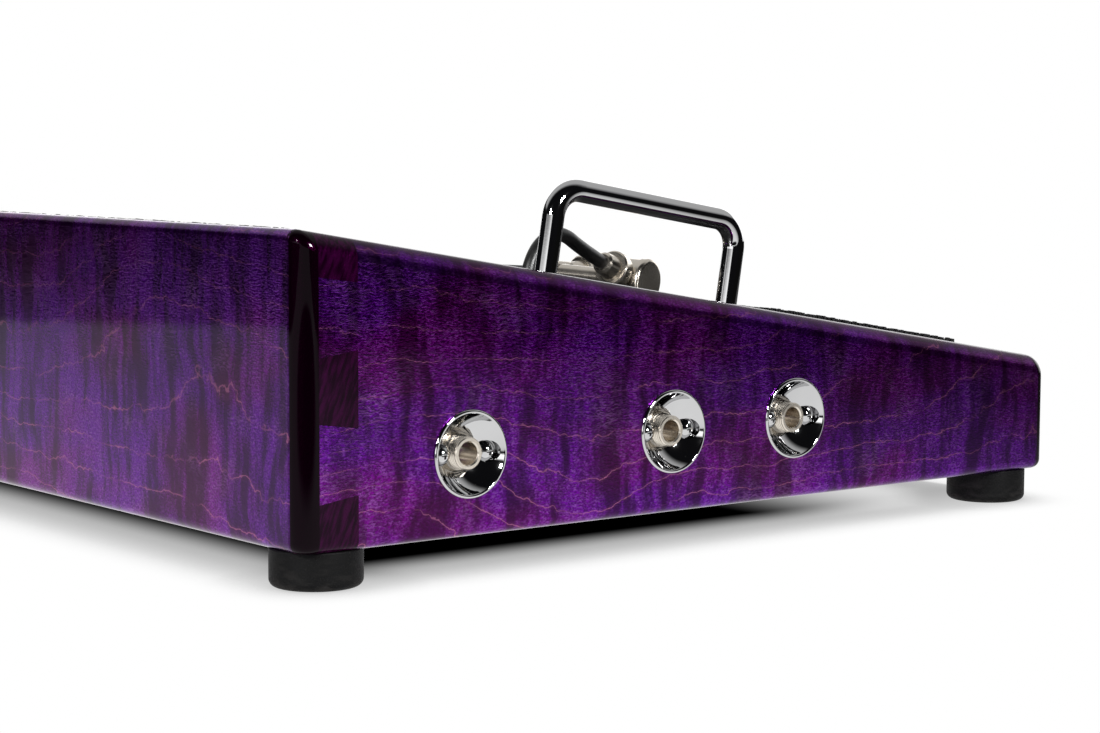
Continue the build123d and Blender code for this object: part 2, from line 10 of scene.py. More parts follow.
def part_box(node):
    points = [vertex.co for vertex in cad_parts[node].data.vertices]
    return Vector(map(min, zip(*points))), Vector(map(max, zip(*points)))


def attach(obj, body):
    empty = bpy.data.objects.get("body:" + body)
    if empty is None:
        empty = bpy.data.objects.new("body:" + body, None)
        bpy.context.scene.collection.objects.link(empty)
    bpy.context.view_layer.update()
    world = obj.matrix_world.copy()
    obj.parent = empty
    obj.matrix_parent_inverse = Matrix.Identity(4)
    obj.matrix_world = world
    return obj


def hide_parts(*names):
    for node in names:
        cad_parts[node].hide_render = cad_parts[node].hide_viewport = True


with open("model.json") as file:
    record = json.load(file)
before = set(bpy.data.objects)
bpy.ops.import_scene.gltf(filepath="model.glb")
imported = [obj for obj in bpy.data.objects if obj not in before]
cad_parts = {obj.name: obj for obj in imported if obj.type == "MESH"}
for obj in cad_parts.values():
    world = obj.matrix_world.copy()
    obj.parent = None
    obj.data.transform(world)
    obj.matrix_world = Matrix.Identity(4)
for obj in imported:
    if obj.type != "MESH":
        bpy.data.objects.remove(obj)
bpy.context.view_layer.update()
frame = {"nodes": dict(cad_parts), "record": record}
nodes = frame["nodes"]
record = frame["record"]

# ---------------------------------------------------------------- places from the frame, sizes of the part
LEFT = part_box("left_panel")[0].x
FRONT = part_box("front_panel")[0].y
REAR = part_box("rear_panel")[1].y
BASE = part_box("left_panel")[0].z
FRONT_HEIGHT = 0.0381
SLOPE = math.atan(1 / 6)
CARPET_THICKNESS = 0.004
DECK_FACE = -0.001                    # below the frame's top, measured square to it
LEAD_DIAMETER = 0.0046
TAB_REACH = 0.017                     # a lead is soldered this far inwards from a jack's mount
TAB_ASIDE = 0.0095                    # this far to one side of it
TAB_DROP = 0.00825                    # and this far below it
PLUG_AXIS = 0.00775                   # a lying plug's middle, above what it lies on
LEAD_END = 0.0188                     # where a lead ends in its collar, from the middle of the head
NEAR_CORNER = Vector((LEFT, REAR, 0.095))   # high on the rear left corner
SLOPE_NORMAL = Vector((0, -math.sin(SLOPE), math.cos(SLOPE)))


def on_top(inset, back, lift):
    """A point from the left side, from the rear, and square to the frame's top."""
    y = REAR - back
    foot = Vector((LEFT + inset, y, BASE + FRONT_HEIGHT + (y - FRONT) * math.tan(SLOPE)))
    return foot + SLOPE_NORMAL * lift


def lug_end(number, side):
    """Where a lead starts, on the solder tab behind a side jack."""
    mount = next(m for m in record["mounts"] if m["name"] == f"side_jack_{number}")
    return Vector(mount["pos_m"]) + Vector((TAB_REACH, side * TAB_ASIDE, -TAB_DROP))


def plug_line(inset, back, seat, swing, tilt):
    """A function that gives points along a lying plug's lead, from the middle of its head."""
    place = Matrix.Translation(on_top(inset, back, seat + PLUG_AXIS))
    place = place @ Matrix.Rotation(SLOPE, 4, "X")
    place = place @ Matrix.Rotation(math.radians(swing), 4, "Z")
    place = place @ Matrix.Rotation(math.radians(tilt), 4, "X")
    return lambda distance: place @ Vector((0, distance, 0))


# ---------------------------------------------------------------- camera
CAMERA_PLACE = Vector((LEFT - 0.5661, REAR + 0.3652, 0.1258))
CAMERA_YAW = math.radians(38.546)     # from +X towards -Y
CAMERA_PITCH = math.radians(5.338)    # downwards
CAMERA_ROLL = math.radians(0.198)
CAMERA_LENS = 82.3                    # millimetres, on a sensor this wide
SENSOR_WIDTH = 36.0
CAMERA_CLIP = (0.02, 60.0)            # nearest and farthest seen


def make_camera():
    """The scene's camera; gives the level directions ahead of it and to its right."""
    flat = Vector((math.cos(CAMERA_YAW), -math.sin(CAMERA_YAW), 0))
    forward = flat * math.cos(CAMERA_PITCH) - Vector((0, 0, math.sin(CAMERA_PITCH)))
    right = Vector((-math.sin(CAMERA_YAW), -math.cos(CAMERA_YAW), 0))
    up = right.cross(forward)
    rotation = Matrix((right, up, -forward)).transposed()
    data = bpy.data.cameras.new("camera")
    data.sensor_width = SENSOR_WIDTH
    data.lens = CAMERA_LENS
    data.clip_start, data.clip_end = CAMERA_CLIP
    camera = bpy.data.objects.new("camera", data)
    camera.matrix_world = (
        Matrix.Translation(CAMERA_PLACE) @ rotation.to_4x4() @ Matrix.Rotation(CAMERA_ROLL, 4, "Z")
    )
    bpy.context.collection.objects.link(camera)
    bpy.context.scene.camera = camera
    return flat, right


view_flat, view_right = make_camera()


# ---------------------------------------------------------------- shader helper
class Shader:
    """Builds one material's node tree; an input that is a socket is linked, any other is set."""

    def __init__(self, name, tree=None):
        """Start an empty tree: a new material's, or the one that is given."""
        if tree is None:
            self.material = bpy.data.materials.new(name)
            self.material.use_nodes = True
            tree = self.material.node_tree
        self.tree = tree
        tree.nodes.clear()

    def node(self, kind, inputs=None, **settings):
        """A node of that kind, with its settings, and its inputs by name or number."""
        node = self.tree.nodes.new("ShaderNode" + kind)
        for name, value in settings.items():
            setattr(node, name, value)
        for name, value in (inputs or {}).items():
            if isinstance(value, bpy.types.NodeSocket):
                self.tree.links.new(value, node.inputs[name])
            else:
                node.inputs[name].default_value = value
        return node

    def math(self, operation, *values):
        """One operation on sockets and numbers, in the node's own order."""
        return self.node("Math", dict(enumerate(values)), operation=operation).outputs[0]

    def add(self, *values):
        """Sockets and numbers added up."""
        total = values[0]
        for value in values[1:]:
            total = self.math("ADD", total, value)
        return total

    def times(self, *values):
        """Sockets and numbers multiplied."""
        total = values[0]
        for value in values[1:]:
            total = self.math("MULTIPLY", total, value)
        return total

    def where(self):
        """The point in the part's axes, as one socket."""
        return self.node("TexCoord").outputs["Object"]

    def place(self):
        """The point in the part's axes, as three sockets."""
        return self.node("SeparateXYZ", {0: self.where()}).outputs

    def point(self, x, y, z):
        """Three sockets or numbers as one vector."""
        return self.node("CombineXYZ", {0: x, 1: y, 2: z}).outputs[0]

    def noise(self, vector, scale=1.0, detail=2.0, distortion=0.0):
        """Cloudy noise between 0 and 1."""
        inputs = {"Vector": vector, "Scale": scale, "Detail": detail, "Distortion": distortion}
        return self.node("TexNoise", inputs).outputs["Fac"]

    def ramp(self, value, low, high, to_low=0.0, to_high=1.0):
        """A smooth step from one value to another as the first socket goes from low to high."""
        inputs = {0: value, 1: low, 2: high, 3: to_low, 4: to_high}
        return self.node("MapRange", inputs, interpolation_type="SMOOTHSTEP").outputs[0]

    def mix(self, factor, first, second):
        """A colour between two; numbered inputs, because several in the node share a name."""
        return self.node("Mix", {0: factor, 6: first, 7: second}, data_type="RGBA").outputs[2]

    def bump(self, height, distance):
        """A normal for a surface that rises by this distance where the height is 1."""
        return self.node("Bump", {"Height": height, "Distance": distance}).outputs[0]

    def finish(self, **inputs):
        """The surface: a Principled shader with these inputs, its names written with underscores."""
        named = {name.replace("_", " "): value for name, value in inputs.items()}
        surface = self.node("BsdfPrincipled", named)
        out = self.node("OutputMaterial")
        self.tree.links.new(surface.outputs[0], out.inputs[0])
        return self.material


def colour(red, green, blue):
    """An opaque colour in linear light."""
    return (red, green, blue, 1.0)


# ---------------------------------------------------------------- dyed maple
CORNER_STRIP = (REAR - 0.0066, REAR - 0.0060)   # the rounded corners' strip begins here, dark from end-grain dye and from painted shade
DEEP_BLUE = colour(0.034, 0.0, 0.060)
DEEP_PLUM = colour(0.052, 0.0, 0.045)
BRIGHT_BLUE = colour(0.175, 0.0, 0.440)
BRIGHT_PLUM = colour(0.235, 0.0, 0.320)
LILAC = colour(0.500, 0.205, 0.650)
RING_TAN = colour(0.720, 0.220, 0.440)
END_DARK = colour(0.036, 0.0, 0.028)
END_PLUM = colour(0.130, 0.003, 0.105)
# Near black on the rounded corners: end grain that took more dye, and painted shade for the dark room they
# reflect.
CORNER_DYE_AND_PAINTED_SHADE = colour(0.014, 0.0, 0.009)


def maple(name, along, seed):
    """Curly maple under violet dye and gloss lacquer; along is the axis of the grain, 0 or 1."""
    s = Shader(name)
    x, y, z = s.place()
    u = s.add((x, y)[along], seed)
    w = (y, x)[along]

    # Curl: dark and light bars square to the grain, wavering and broken along their height.
    sway = s.noise(s.point(s.times(u, 30), s.times(w, 30), s.times(z, 45)), detail=1)
    bent = s.add(u, s.times(s.math("SUBTRACT", sway, 0.5), 0.009))
    fine = s.noise(s.point(s.times(bent, 250), s.times(w, 60), s.times(z, 42)), detail=3)
    broad = s.noise(s.point(s.times(bent, 85), s.times(w, 24), s.times(z, 22)), detail=2)
    curl = s.ramp(s.add(s.times(fine, 0.62), s.times(broad, 0.5)), 0.43, 0.70)

    # Silk: short fibres along the grain that ripple with the curl, and fine speckle.
    rippled = s.add(z, s.times(fine, 0.0020))
    silk = s.noise(s.point(s.times(u, 700), s.times(w, 2000), s.times(rippled, 2100)), detail=3)
    silk = s.ramp(silk, 0.36, 0.68)
    speck = s.noise(s.point(s.times(u, 1200), s.times(w, 1700), s.times(z, 1700)), detail=3)
    speck = s.ramp(speck, 0.34, 0.70)

    # Clouds: where the dye took more blue or more plum, and where the wood stayed pale.
    cloud = s.noise(s.point(s.times(u, 15), s.times(w, 15), s.times(z, 28)), detail=3)
    plum = s.ramp(cloud, 0.40, 0.62)
    pale = s.noise(s.point(s.times(s.add(u, 3.1), 60), s.times(w, 26), s.times(z, 60)), detail=4)
    pale = s.ramp(pale, 0.50, 0.80)

    # Growth rings: thin pale lines that follow the contours of a bent, rippled height.
    hill = s.noise(s.point(s.times(u, 8), s.times(w, 11), s.times(z, 12)), detail=1)
    wave = s.noise(s.point(s.times(u, 110), s.times(w, 20), s.times(z, 90)), detail=2)
    ripple = s.noise(s.point(s.times(u, 420), s.times(w, 60), s.times(z, 420)), detail=2)
    height = s.add(s.times(z, 100), s.times(hill, 7.0), s.times(wave, 0.60), s.times(ripple, 0.20),
                   seed * 3.7)
    ring = s.math("PINGPONG", height, 0.5)
    late = s.ramp(ring, 0.003, 0.023, 1.0, 0.0)
    halo = s.ramp(ring, 0.0, 0.12, 1.0, 0.0)
    fade = s.noise(s.point(s.times(u, 45), s.times(w, 40), s.times(z, 45)), detail=3)
    fade = s.times(s.ramp(fade, 0.33, 0.58), s.ramp(z, 0.03, 0.10, 1.0, 0.5))
    line = s.add(s.times(late, s.add(s.times(fade, 0.46), 0.04)), s.times(halo, fade, 0.06))

    # Dye: deep in the dark bars, bright in the light ones, with lilac silk and tan rings.
    deep = s.mix(plum, DEEP_BLUE, DEEP_PLUM)
    body = s.mix(plum, BRIGHT_BLUE, BRIGHT_PLUM)
    tone = s.times(s.add(s.times(curl, 0.90), 0.10), s.add(s.times(speck, 0.85), 0.50))
    dye = s.mix(s.math("MINIMUM", tone, 1.0), deep, body)
    dye = s.mix(s.times(silk, speck, s.add(s.times(curl, 0.42), 0.03)), dye, LILAC)
    dye = s.mix(s.times(pale, silk, 0.40), dye, LILAC)
    dye = s.mix(line, dye, RING_TAN)

    # End grain, on faces square to the grain: nearly black plum with close fine lines.
    normal = s.node("SeparateXYZ", {0: s.node("NewGeometry").outputs["True Normal"]}).outputs
    end = s.ramp(s.math("ABSOLUTE", normal[along]), 0.04, 0.20)
    pores = s.noise(s.point(s.times(x, 900), s.times(s.add(w, s.times(z, 0.35)), 700),
                            s.times(z, 160)), detail=2)
    end_dye = s.mix(s.ramp(pores, 0.35, 0.7), END_DARK, END_PLUM)
    # On the rounded corners the end grain goes near black: partly more dye, partly painted shade for the
    # dark room they reflect.
    corner_dye_and_shade = s.ramp(s.math("ABSOLUTE", y), *CORNER_STRIP)
    end_dye = s.mix(corner_dye_and_shade, end_dye, CORNER_DYE_AND_PAINTED_SHADE)
    dye = s.mix(end, dye, end_dye)

    # Gloss: the coat's slow waves lie over the silk of the wood.
    orange_peel = s.noise(s.point(u, w, z), scale=70, detail=1)
    return s.finish(
        Base_Color=dye,
        Metallic=s.ramp(end, 0.0, 1.0, 0.62, 0.12),
        Roughness=s.add(0.075, s.times(silk, 0.05), s.times(end, 0.15)),
        IOR=1.45,
        Specular_IOR_Level=0.0,
        Normal=s.bump(silk, 0.00002),
        Coat_Weight=0.75,
        Coat_Roughness=0.02,
        Coat_IOR=1.2,
        Coat_Normal=s.bump(orange_peel, 0.00002),
    )


# ---------------------------------------------------------------- other materials
def chrome():
    """Polished plating with a faint haze."""
    s = Shader("chrome")
    where = s.where()
    haze = s.noise(where, scale=90, detail=4)
    wear = s.noise(where, scale=1500, detail=2)
    return s.finish(
        Base_Color=s.mix(haze, colour(0.53, 0.53, 0.54), colour(0.60, 0.60, 0.60)),
        Metallic=1.0,
        Roughness=s.add(0.025, s.times(haze, 0.03)),
        Normal=s.bump(wear, 0.000002),
    )


def nickel():
    """Warm satin plating on the plugs and the jacks' barrels."""
    s = Shader("nickel")
    where = s.where()
    haze = s.noise(where, scale=160, detail=4)
    grain = s.noise(where, scale=2400, detail=2)
    return s.finish(
        Base_Color=s.mix(haze, colour(0.60, 0.54, 0.46), colour(0.80, 0.75, 0.67)),
        Metallic=1.0,
        Roughness=s.add(0.16, s.times(haze, 0.14)),
        Normal=s.bump(grain, 0.000008),
    )


def plated_steel():
    """Dull zinc plating, clouded."""
    s = Shader("plated_steel")
    where = s.where()
    cloud = s.noise(where, scale=300, detail=4)
    return s.finish(
        Base_Color=s.mix(cloud, colour(0.46, 0.47, 0.49), colour(0.70, 0.70, 0.70)),
        Metallic=1.0,
        Roughness=s.add(0.26, s.times(cloud, 0.2)),
        Normal=s.bump(s.noise(where, scale=3000, detail=1), 0.00001),
    )


def black_screw():
    """Blackened steel, worn to grey in spots."""
    s = Shader("black_screw")
    where = s.where()
    worn = s.ramp(s.noise(where, scale=900, detail=3), 0.55, 0.75)
    return s.finish(
        Base_Color=s.mix(worn, colour(0.012, 0.012, 0.013), colour(0.07, 0.07, 0.07)),
        Metallic=0.7,
        Roughness=s.add(0.38, s.times(worn, 0.15)),
    )


def contact_metal():
    """Spring bronze with tarnish."""
    s = Shader("contact_metal")
    where = s.where()
    tarnish = s.noise(where, scale=500, detail=3)
    return s.finish(
        Base_Color=s.mix(tarnish, colour(0.52, 0.32, 0.14), colour(0.80, 0.60, 0.33)),
        Metallic=1.0,
        Roughness=s.add(0.22, s.times(tarnish, 0.2)),
    )


def phenolic():
    """Brown laminate of the jacks' wafers."""
    s = Shader("phenolic")
    where = s.where()
    mottle = s.noise(where, scale=1200, detail=3)
    return s.finish(
        Base_Color=s.mix(mottle, colour(0.085, 0.032, 0.012), colour(0.17, 0.075, 0.03)),
        Roughness=0.42,
        Normal=s.bump(mottle, 0.00003),
    )


def rubber():
    """Matt black moulded rubber with dust low on its side."""
    s = Shader("rubber")
    x, y, z = s.place()
    where = s.where()
    speck = s.ramp(s.noise(where, scale=1600, detail=3), 0.56, 0.74)
    smear = s.noise(s.point(s.times(x, 160), s.times(y, 160), s.times(z, 420)), detail=4)
    low = s.ramp(z, 0.0005, 0.0105, 0.9, 0.15)
    dust = s.math("MAXIMUM", s.times(speck, 0.35), s.times(s.ramp(smear, 0.4, 0.75), low))
    return s.finish(
        Base_Color=s.mix(s.times(dust, 0.8), colour(0.012, 0.012, 0.013), colour(0.17, 0.16, 0.155)),
        Roughness=s.add(0.58, s.times(dust, 0.3)),
        Specular_IOR_Level=0.10,
        Normal=s.bump(s.noise(where, scale=2600, detail=3), 0.00008),
    )


def cable_jacket():
    """Black cable sheath, scuffed."""
    s = Shader("cable_jacket")
    where = s.where()
    scuff = s.noise(where, scale=220, detail=4)
    return s.finish(
        Base_Color=s.mix(s.ramp(scuff, 0.5, 0.8), colour(0.010, 0.010, 0.011), colour(0.03, 0.03, 0.032)),
        Roughness=s.add(0.30, s.times(scuff, 0.22)),
        Normal=s.bump(s.noise(where, scale=1900, detail=2), 0.00003),
    )


def black_ply():
    """Black satin paint over plywood, with the face grain just showing."""
    s = Shader("black_ply")
    x, y, z = s.place()
    grain = s.noise(s.point(s.times(x, 40), s.times(y, 900), s.times(z, 900)), detail=4, distortion=0.4)
    cloud = s.noise(s.where(), scale=25, detail=4)
    return s.finish(
        Base_Color=s.mix(s.times(grain, cloud), colour(0.008, 0.008, 0.009), colour(0.035, 0.034, 0.036)),
        Roughness=s.add(0.36, s.times(cloud, 0.2)),
        Normal=s.bump(grain, 0.00012),
    )


def cleat_wood():
    """Plain planed maple, oiled, its grain along the board's length."""
    s = Shader("cleat_wood")
    x, y, z = s.place()
    sway = s.noise(s.point(s.times(x, 12), s.times(y, 30), s.times(z, 30)), detail=2)
    rings = s.noise(s.point(s.times(x, 10), s.add(s.times(y, 420), s.times(sway, 3)),
                            s.add(s.times(z, 420), s.times(sway, 3))), detail=3)
    pores = s.ramp(s.noise(s.point(s.times(x, 300), s.times(y, 3000), s.times(z, 3000)), detail=2),
                   0.56, 0.72)
    tone = s.mix(s.ramp(rings, 0.3, 0.7), colour(0.42, 0.25, 0.125), colour(0.60, 0.42, 0.25))
    return s.finish(
        Base_Color=s.mix(s.times(pores, 0.35), tone, colour(0.25, 0.13, 0.06)),
        Roughness=s.add(0.44, s.times(rings, 0.15)),
        Normal=s.bump(s.add(rings, s.times(pores, -0.6)), 0.00012),
    )


def loop_yarn():
    """Black polyamide yarn: soft, with a grey sheen where it curls to the light."""
    s = Shader("loop_yarn")
    where = s.where()
    fibre = s.noise(where, scale=3800, detail=3)
    lint = s.ramp(s.noise(where, scale=420, detail=5), 0.62, 0.78)
    tone = s.mix(fibre, colour(0.006, 0.006, 0.007), colour(0.030, 0.030, 0.033))
    return s.finish(
        Base_Color=s.mix(s.times(lint, 0.25), tone, colour(0.12, 0.12, 0.12)),
        Roughness=0.85,
        Specular_IOR_Level=0.25,
        Sheen_Weight=0.35,
        Sheen_Roughness=0.5,
        Normal=s.bump(fibre, 0.0002),
    )


MATERIALS = {
    "black_ply": black_ply(),
    "cleat_wood": cleat_wood(),
    "chrome": chrome(),
    "nickel": nickel(),
    "plated_steel": plated_steel(),
    "black_screw": black_screw(),
    "contact_metal": contact_metal(),
    "phenolic": phenolic(),
    "rubber": rubber(),
    "cable_jacket": cable_jacket(),
    "loop_carpet": loop_yarn(),
}
PANELS = {
    "left_panel": maple("maple_left", 1, 0.0),
    "right_panel": maple("maple_right", 1, 1.7),
    "rear_panel": maple("maple_rear", 0, 3.3),
    "front_panel": maple("maple_front", 0, 5.1),
}


def paint(piece, material):
    """Put the material in every slot of the piece, or in a first slot if it has none."""
    for slot in piece.material_slots:
        slot.material = material
    if not piece.material_slots:
        piece.data.materials.append(material)


for part in record["subparts"]:
    paint(nodes[part["node"]], PANELS.get(part["node"]) or MATERIALS[part["material_slot"]])


# ---------------------------------------------------------------- patch leads
def lead(name, points):
    """A round cable through listed points, in the place of the imported lead."""
    curve = bpy.data.curves.new(name, "CURVE")
    curve.dimensions = "3D"
    curve.bevel_depth = LEAD_DIAMETER / 2
    curve.bevel_resolution = 6
    curve.resolution_u = 16
    curve.use_fill_caps = True
    spline = curve.splines.new("NURBS")
    spline.points.add(len(points) - 1)
    for control, point in zip(spline.points, points):
        control.co = (*point, 1.0)
    spline.order_u = 3
    spline.use_endpoint_u = True
    curve.materials.append(MATERIALS["cable_jacket"])
    cord = bpy.data.objects.new(f"{name}_cord", curve)
    bpy.context.collection.objects.link(cord)
    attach(cord, "board")
    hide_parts(name)


plug_a = plug_line(0.083, 0.185, DECK_FACE, 17.5, 12.0)
plug_b = plug_line(0.132, 0.214, DECK_FACE + CARPET_THICKNESS, 6.0, -7.0)
start_a = lug_end(2, -1)
start_b = lug_end(3, 1)
lead(
    "lead_a",
    [
        start_a,
        start_a + Vector((0.013, 0, 0)),
        on_top(0.054, 0.1405, -0.045),
        on_top(0.062, 0.138, -0.031),
        on_top(0.065, 0.1315, -0.016),
        on_top(0.065, 0.1273, -0.0015),
        on_top(0.0665, 0.131, 0.0115),
        on_top(0.070, 0.1425, 0.018),
        plug_a(0.0318),
        plug_a(LEAD_END),
    ],
)
lead(
    "lead_b",
    [
        start_b,
        start_b + Vector((0.016, 0, 0)),
        start_b + Vector((0.037, 0.005, 0.004)),
        start_b + Vector((0.062, 0.017, 0.010)),
        on_top(0.107, 0.137, -0.025),
        on_top(0.115, 0.1296, -0.019),
        on_top(0.121, 0.1293, -0.0083),
        on_top(0.125, 0.137, 0.0016),
        on_top(0.128, 0.1493, 0.0035),
        plug_b(0.0328),
        plug_b(LEAD_END),
    ],
)


# ---------------------------------------------------------------- loop carpet
LOOP_PITCH = 0.0022
YARN_RADIUS = 0.00055
LOOP_STEPS = 4                        # points along a loop
YARN_SIDES = 3
BACK_THICKNESS = 0.0012
LOOP_JITTER = 0.00028                 # how far a loop strays from its row
LOOP_TURN = (0.35, 0.45)              # middle and spread, in radians
LOOP_TALL = (0.92, 1.0)               # least and most, as shares of the pile's height
LOOP_HALF = (0.30, 0.48)              # half a loop's width, as shares of the pitch
LOOP_LEAN = 0.16                      # spread of the lean, as a share of the height
LOOP_ARCH = 0.7                       # below 1, a loop's shoulders are squarer than a circle's


def loop_mesh(rng, width, depth, height):
    """Arched loops of yarn in rows on a flat rectangle: vertices and faces."""
    across = int(width / LOOP_PITCH)
    deep = int(depth / LOOP_PITCH)
    column, row = np.meshgrid(np.arange(across), np.arange(deep), indexing="ij")
    count = column.size
    x = (column.ravel() + 0.5 + 0.5 * (row.ravel() % 2) - 0.25) / across * width
    y = (row.ravel() + 0.5) / deep * depth
    x += rng.normal(0, LOOP_JITTER, count)
    y += rng.normal(0, LOOP_JITTER, count)
    turn = rng.normal(*LOOP_TURN, count)
    tall = height * rng.uniform(*LOOP_TALL, count)
    half = LOOP_PITCH * rng.uniform(*LOOP_HALF, count)
    lean = rng.normal(0, LOOP_LEAN, count) * tall

    angle = np.linspace(0, math.pi, LOOP_STEPS)
    run = -np.cos(angle)[None, :] * half[:, None]
    rise = np.sin(angle)[None, :] ** LOOP_ARCH * (tall[:, None] - YARN_RADIUS)
    side = np.sin(angle)[None, :] * lean[:, None]
    cos, sin = np.cos(turn)[:, None], np.sin(turn)[:, None]
    line = np.stack([
        np.clip(x[:, None] + run * cos - side * sin, YARN_RADIUS, width - YARN_RADIUS),
        np.clip(y[:, None] + run * sin + side * cos, YARN_RADIUS, depth - YARN_RADIUS),
        rise,
    ], axis=-1)

    ahead = np.gradient(line, axis=1)
    ahead /= np.linalg.norm(ahead, axis=-1, keepdims=True)
    flat = np.stack([-sin, cos, np.zeros_like(sin)], axis=-1)
    over = np.cross(ahead, flat)
    spokes = []
    for step in range(YARN_SIDES):
        around = 2 * math.pi * step / YARN_SIDES
        spokes.append(line + YARN_RADIUS * (math.cos(around) * flat + math.sin(around) * over))
    points = np.stack(spokes, axis=2).reshape(-1, 3)
    return points, tube_faces(count, LOOP_STEPS, YARN_SIDES)


def tube_faces(count, steps, sides):
    """Quads of that many tubes, each with rings of points in order."""
    tube = np.arange(count)[:, None, None] * steps * sides
    ring = np.arange(steps - 1)[None, :, None] * sides
    side = np.arange(sides)[None, None, :]
    after = (side + 1) % sides
    first = tube + ring
    return np.stack([first + side, first + after, first + sides + after, first + sides + side],
                    axis=-1).reshape(-1, 4)


def backing(width, depth, height):
    """The woven back under the loops, as a slab's eight corners and six sides."""
    points = [(x, y, z) for z in (0, height) for y in (0, depth) for x in (0, width)]
    sides = [(0, 2, 3, 1), (4, 5, 7, 6), (0, 1, 5, 4), (1, 3, 7, 5), (3, 2, 6, 7), (2, 0, 4, 6)]
    return np.array(points), np.array(sides)


def carpet_piece(name, points, faces, place, smooth):
    """One mesh of a carpet, laid in its place and riding on the board."""
    mesh = bpy.data.meshes.new(name)
    mesh.from_pydata(points.tolist(), [], faces.tolist())
    mesh.transform(place)
    if smooth:
        mesh.shade_smooth()
    mesh.materials.append(MATERIALS["loop_carpet"])
    piece = bpy.data.objects.new(name, mesh)
    bpy.context.collection.objects.link(piece)
    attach(piece, "board")
    return piece


def carpet(node, seed):
    """Loop carpet in the place of the plain slab: a thin back with rows of yarn loops."""
    low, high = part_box(node)
    width = high.x - low.x
    depth = (high.y - low.y) / math.cos(SLOPE)
    place = Matrix.Translation(low) @ Matrix.Rotation(SLOPE, 4, "X")
    rng = np.random.default_rng(seed)
    pile_points, pile_faces = loop_mesh(rng, width, depth, CARPET_THICKNESS)
    pile = carpet_piece(f"{node}_pile", pile_points, pile_faces, place, True)
    back_points, back_faces = backing(width, depth, BACK_THICKNESS)
    back = carpet_piece(f"{node}_back", back_points, back_faces, place, False)
    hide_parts(node)


carpet("carpet_rear", 11)
carpet("carpet_front", 12)


# ---------------------------------------------------------------- stage: pale sweep, soft light
FLOOR_REACH = 20.0
SHADE_EDGE = 0.002      # the shade starts this far inside the board's outline
SHADE_CORE = 0.040      # and is full this far inside
FRONT_SHADE = (0.030, 0.105)    # full further in at the front, where light comes under
FRONT_FAINT = 0.30      # strength of the shade just inside the front edge
FOOT_SHADE = 0.020      # reach of the shade close round a foot
FOOT_OPEN = (0.35, 0.95)        # how open the floor is there, from darkest to clear
FOOT_DIM = 0.62                 # brightness where it is darkest
SWEEP_LEFT = (-1.01, -0.91)     # the lit sweep fades between these, left of the camera's line
SWEEP_RIGHT = (0.64, 0.73)      # and right of it
DARK_ROOM = (0.44, 0.56)        # and towards the camera's place, between these distances from it
SWEEP_FRONT = (-0.46, 0.05)     # it dims forwards between these places along the part's depth
SWEEP_FRONT_DIM = 0.08
SWEEP_REAR = (0.05, 0.40)       # and a little backwards between these
SWEEP_REAR_DIM = 0.72
FLOOR_GLOSS = 1.10      # brightness of the lit sweep in polished surfaces
FLOOR_FILL = 0.17       # and as soft fill
UNLIT = colour(0.006, 0.006, 0.006)
BLACK = colour(0.0, 0.0, 0.0)
WHITE = colour(1.0, 1.0, 1.0)
BACK_AHEAD = (0.52, 0.60)       # the white back starts between these, ahead of the camera
BACK_ASIDE = (-0.48, -0.38)     # right of these
BACK_TOP = (0.30, 0.45)         # and below these
CARD_ASIDE = (-0.20, -0.08)     # the low card lies left of these
CARD_AHEAD = (-0.40, -0.30)     # behind these
CARD_TOP = (0.16, 0.26)         # and below these
ABOVE_AHEAD = (-0.15, 0.25)     # the faint glow above starts between these
ABOVE_GLOW = 0.32
ROOM_FILL = colour(0.155, 0.155, 0.160)
ROOM_DARK = colour(0.006, 0.006, 0.007)
ROOM_WHITE = colour(1.8, 1.8, 1.8)
LAMP_DISTANCE = 1.3     # from the near corner
LAMP_SIZE = 0.20
LAMP_RADIANCE = 220.0
LAMP_DIRECTIONS = {"rear_lamp": (-0.29, 0.86, 0.42), "left_lamp": (-0.89, -0.21, 0.41)}


